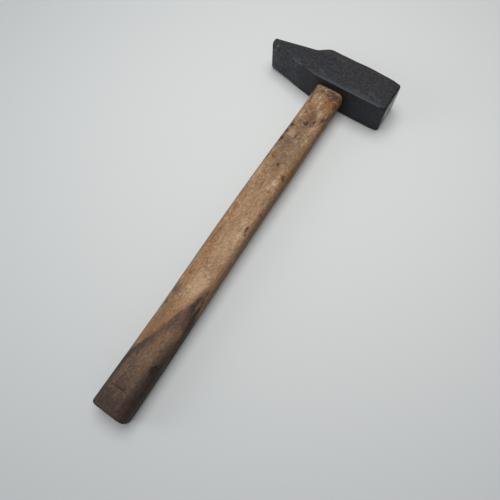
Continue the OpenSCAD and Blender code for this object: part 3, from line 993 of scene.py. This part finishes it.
def agedAsh():
    # ash, shaved to shape, never varnished and handled for years: warm pale brown with faint rings and open
    # pores, bruised and dirty by the head, and soaked dark with oil where the hand holds it
    material, add = newMaterial("handledAsh")
    spot = (add("TexCoord"), "Object")
    grain = grainNoise(add, spot, handle["grain"])
    for name, (wide, long, roughness) in handle["strokes"].items():
        slanting = add("Mapping", {
            "Vector": spot, "Rotation": (0, 0, handle["slant"]),
            "Scale": (wide * mm, long * mm, wide * mm)}, vector_type="TEXTURE")
        grain[name] = add("TexNoise", {
            "Vector": slanting, "Scale": 1.0, "Detail": 4.0, "Roughness": roughness})

    # growth rings round a pith that lies outside the handle
    pithX, pithZ = handle["pith"]
    fromPith = add("Mapping", {"Vector": spot, "Location": (pithX, 0, pithZ), "Scale": (1 / mm, 0, 1 / mm)})
    reach = add("VectorMath", [fromPith], operation="LENGTH")
    reach = add("Math", [grain["waves"], 16.0, (reach, "Value")], operation="MULTIPLY_ADD")
    reach = add("Math", [reach, handle["ringGap"]], operation="DIVIDE")
    ringPart = add("Math", [reach], operation="FRACT")
    early = add("MapRange", [ringPart, 0.0, 0.35, 0.12, 0.0])

    # fibres, patches 10 mm wide and slanting flecks some 1 mm wide and 3 mm long make the tone
    tone = 0.0
    for name, share in (("fibres", 0.2), ("patches", 0.24), ("flecks", 0.56)):
        tone = add("Math", [grain[name], share, tone], operation="MULTIPLY_ADD")
    wood = add("ValToRGB", {"Fac": tone})
    steps = wood.color_ramp.elements
    while len(steps) < len(handle["tones"]):
        steps.new(0.5)
    for step, (position, code) in zip(steps, handle["tones"]):
        step.position = position
        step.color = linearColour(code)

    # the pores are a third of a millimetre wide, and are drawn twice as wide so that they show
    pores = add("MapRange", [grain["pores"], 0.62, 0.72, 0.0, 0.4])
    specks = add("MapRange", [grain["specks"], 0.63, 0.72, 0.0, 0.5])
    for share, code in ((early, handle["earlyWood"]), (pores, handle["pore"]), (specks, handle["speck"])):
        wood = add("Mix", {"Factor": share, "A": wood, "B": code}, data_type="RGBA")

    # each painted mark is broken up by its own noise before it colours the wood
    # three of these colours also carry the painted shade along the narrow sides, darker towards the bottom
    for i, (name, code, strength, depth) in enumerate(handle["colours"]):
        painted = (add("Attribute", attribute_name=name), "Fac")
        across, along = (0.35, 1.0) if name == "pale" else (0.6, 0.45)
        broken = add("Mapping", {
            "Vector": spot, "Location": (9 * i, 4, 1), "Rotation": (0, 0, 0.2),
            "Scale": (across / mm, along / mm, across / mm)})
        broken = add("TexNoise", {"Vector": broken, "Scale": 1.0, "Detail": 4.0, "Roughness": 0.7})
        broken = add("Math", [painted, 0.3, broken], operation="MULTIPLY_ADD")
        broken = add("MapRange", [broken, 0.45, 0.75, (1 - depth) * strength, (1 + depth / 2) * strength])
        share = add("Math", [painted, broken], operation="MULTIPLY", use_clamp=True)
        wood = add("Mix", {"Factor": share, "A": wood, "B": code}, data_type="RGBA")

    # the streaks run on through the marks, most through the stain and the bruised end by the head
    stain = add("Attribute", attribute_name="stain")
    streaks = add("Math", [grain["streaks"], 0.5], operation="SUBTRACT")
    parts = add("SeparateXYZ", [spot])
    start, end = handle["bruised"]
    bruised = add("MapRange", [(parts, "Y"), start * mm, end * mm, 0.4, 2.6])
    reach = add("Math", [(stain, "Fac"), 1.8, bruised], operation="MULTIPLY_ADD")
    light = add("Math", [streaks, reach, 1.0], operation="MULTIPLY_ADD")
    wood = add("VectorMath", {0: wood, "Scale": light}, operation="SCALE")
    rough = add("MapRange", [grain["patches"], 0.35, 0.7, 0.64, 0.8])
    height = add("Math", [grain["flecks"], grain["fibres"]], operation="ADD")
    for hollow in (pores, specks):
        height = add("Math", [height, hollow], operation="SUBTRACT")
    bumped = add("Bump", {"Height": height, "Strength": 0.7, "Distance": 0.4 * mm})
    surface = add("BsdfPrincipled", {
        "Base Color": wood, "Roughness": rough, "Normal": bumped, "Specular IOR Level": 0.22})
    add("OutputMaterial", {"Surface": surface})
    return material


def sawnBeech():
    # beech, sawn and driven in dry: a pinkish tan with short dark flecks and the saw's bands across it
    material, add = newMaterial("sawnBeech")
    spot = (add("TexCoord"), "Object")
    grain = grainNoise(add, spot, wedge["grain"])
    toned = add("MapRange", [grain["fibres"], 0.35, 0.65])
    darker, paler = wedge["tones"]
    wood = add("Mix", {"Factor": toned, "A": darker, "B": paler}, data_type="RGBA")
    # the flecks are 0.1 mm wide and 2 mm long, and are drawn three times as wide so that they show
    flecks = add("MapRange", [grain["flecks"], 0.58, 0.66, 0.0, 0.6])
    wood = add("Mix", {"Factor": flecks, "A": wood, "B": wedge["fleck"]}, data_type="RGBA")
    bands = add("Mapping", {"Vector": spot, "Rotation": (0, 0, 0.3), "Scale": (1 / mm,) * 3})
    bands = add("TexWave", {
        "Vector": bands, "Scale": 0.25, "Distortion": 1.5}, wave_type="BANDS", bands_direction="X")
    height = add("Math", [(bands, "Fac"), grain["fibres"]], operation="ADD")
    height = add("Math", [height, flecks], operation="SUBTRACT")
    bumped = add("Bump", {"Height": height, "Strength": 0.5, "Distance": 0.15 * mm})
    rough = add("MapRange", [grain["fibres"], 0.0, 1.0, 0.6, 0.8])
    surface = add("BsdfPrincipled", {"Base Color": wood, "Roughness": rough, "Normal": bumped})
    add("OutputMaterial", {"Surface": surface})
    return material


def dulledMildSteel():
    # mild steel, turned from bar, hammered in and left bare: grey metal under thin brown oxide, with fine
    # turning lines round it
    material, add = newMaterial("dulledMildSteel")
    spot = (add("TexCoord"), "Object")
    place = add("Mapping", {"Vector": spot, "Scale": (1 / mm,) * 3})
    cloud = add("TexNoise", {"Vector": place, "Scale": 0.5, "Detail": 5.0, "Roughness": 0.65})
    oxide = add("MapRange", [cloud, 0.4, 0.6])
    colour = add("Mix", {"Factor": oxide, "A": ring["bare"], "B": ring["oxide"]}, data_type="RGBA")
    metallic = add("MapRange", [oxide, 0.0, 1.0, 1.0, 0.35])
    rough = add("MapRange", [oxide, 0.0, 1.0, 0.36, 0.62])
    # the turning lines are 0.1 mm apart, and are drawn five times as far apart so that they show
    across = add("Mapping", {"Vector": spot, "Location": (0, 0, -middle.z), "Scale": (1 / mm, 0, 1 / mm)})
    reach = add("VectorMath", [across], operation="LENGTH")
    lines = add("Math", [(reach, "Value"), 2 * pi / ring["lineGap"]], operation="MULTIPLY")
    lines = add("Math", [lines], operation="SINE")
    height = add("Math", [lines, 0.1, cloud], operation="MULTIPLY_ADD")
    bumped = add("Bump", {"Height": height, "Strength": 0.6, "Distance": 0.2 * mm})
    surface = add("BsdfPrincipled", {
        "Base Color": colour, "Metallic": metallic, "Roughness": rough, "Normal": bumped})
    add("OutputMaterial", {"Surface": surface})
    return material


print("head")
headForging = makeHead(forgedSteel())
print("handle")
ashHandle = makeHandle(agedAsh())
print("wedges")
hardwoodWedge = makeWedge(sawnBeech())
ringWedge = makeRing(dulledMildSteel())

for piece, node, finish in (
        (headForging, "head", "forged_steel"), (ashHandle, "handle", "aged_ash"),
        (hardwoodWedge, "wood_wedge", "hardwood_wedge"), (ringWedge, "ring_wedge", "wedge_steel")):
    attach(piece, "root")
    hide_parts(node)

studio = {
    "floorSize": 12000,
    "floorPale": "#d2d4d2",
    "floorDim": "#90949c",
    "floorLightPool": (33, -39, 900),  # a painted pool of light on the floor: X and Y where it is palest, and how far off it is dimmest
    "floorFar": "#f8f9fa",  # far off, past the lamps' reach, painted paler to make up for the light it lacks
    "floorFarReach": (500, 2200),
    "worldColour": "#e9ecef",
    "worldLight": 0.3,
    # each softbox: its place, its size, its power and where it points
    "softboxes": [
        ((-90, 60, 1000), 800, 8.6, (0, -100, 0)),
        ((-700, -700, 420), 600, 2.2, (0, -80, 0)),
    ],
    "cameraPlace": (87.8, -274.6, 365.3),
    "cameraTarget": (19.5, -180.8, 16.5),
    "cameraRoll": -3.66,
    "cameraLens": 32.4,
}


def lookFrom(thing, place, target, roll=0):
    direction = Vector(target) - Vector(place)
    turn = direction.to_track_quat("-Z", "Y").to_matrix() @ Matrix.Rotation(radians(roll), 3, "Z")
    thing.matrix_world = Matrix.Translation(Vector(place) * mm) @ turn.to_4x4()


def makeFloor():
    # the hammer tips until its butt touches, so the floor tilts under it
    rise = handleLow.z / (headLow.y - handleLow.y)
    half = studio["floorSize"] / 2
    corners = [(-half, -half), (half, -half), (half, half), (-half, half)]
    points = [Vector((x, y, (headLow.y + 1 - y) * rise)) * mm for x, y in corners]
    mesh = bpy.data.meshes.new("floor")
    mesh.from_pydata(points, [], [(0, 1, 2, 3)])
    floor = newPiece("floor", mesh)
    material, add = newMaterial("palePaperFloor")
    centreX, centreY, far = studio["floorLightPool"]
    spot = (add("TexCoord"), "Object")
    place = add("Mapping", {
        "Vector": spot, "Location": (-centreX / far, -centreY / far, 0),
        "Scale": (1 / far / mm, 1 / far / mm, 0)})
    # the floor's colour is painted palest near the hammer and dimmer outward, a painted falloff of light
    fade = add("TexGradient", {"Vector": place}, gradient_type="SPHERICAL")
    fade = add("MapRange", [(fade, "Fac")], interpolation_type="SMOOTHSTEP")
    colour = add("Mix", {
        "Factor": fade, "A": studio["floorDim"], "B": studio["floorPale"]}, data_type="RGBA")
    # and paler again far off, painted in where the lamps' light runs out
    distance = add("VectorMath", [spot], operation="LENGTH")
    start, end = studio["floorFarReach"]
    beyond = add("MapRange", [(distance, "Value"), start * mm, end * mm])
    colour = add("Mix", {"Factor": beyond, "A": colour, "B": studio["floorFar"]}, data_type="RGBA")
    surface = add("BsdfPrincipled", {"Base Color": colour, "Roughness": 0.7})
    add("OutputMaterial", {"Surface": surface})
    mesh.materials.append(material)


def makeLight():
    for place, size, power, target in studio["softboxes"]:
        lamp = bpy.data.lights.new("softbox", "AREA")
        lamp.shape = "DISK"
        lamp.size = size * mm
        lamp.energy = power
        thing = newPiece("softbox", lamp)
        lookFrom(thing, place, target)
    world = bpy.data.worlds.new("studio")
    world.use_nodes = True
    world.node_tree.nodes.clear()
    add = partial(addNode, world.node_tree)
    glow = add("Background", {"Color": studio["worldColour"], "Strength": studio["worldLight"]})
    add("OutputWorld", {"Surface": glow})
    bpy.context.scene.world = world


def makeCamera():
    lens = bpy.data.cameras.new("camera")
    lens.lens = studio["cameraLens"]
    lens.clip_start = 0.01
    camera = newPiece("camera", lens)
    lookFrom(camera, studio["cameraPlace"], studio["cameraTarget"], studio["cameraRoll"])
    bpy.context.scene.camera = camera


print("studio")
makeFloor()
makeLight()
makeCamera()
bpy.context.scene.view_settings.view_transform = "Standard"
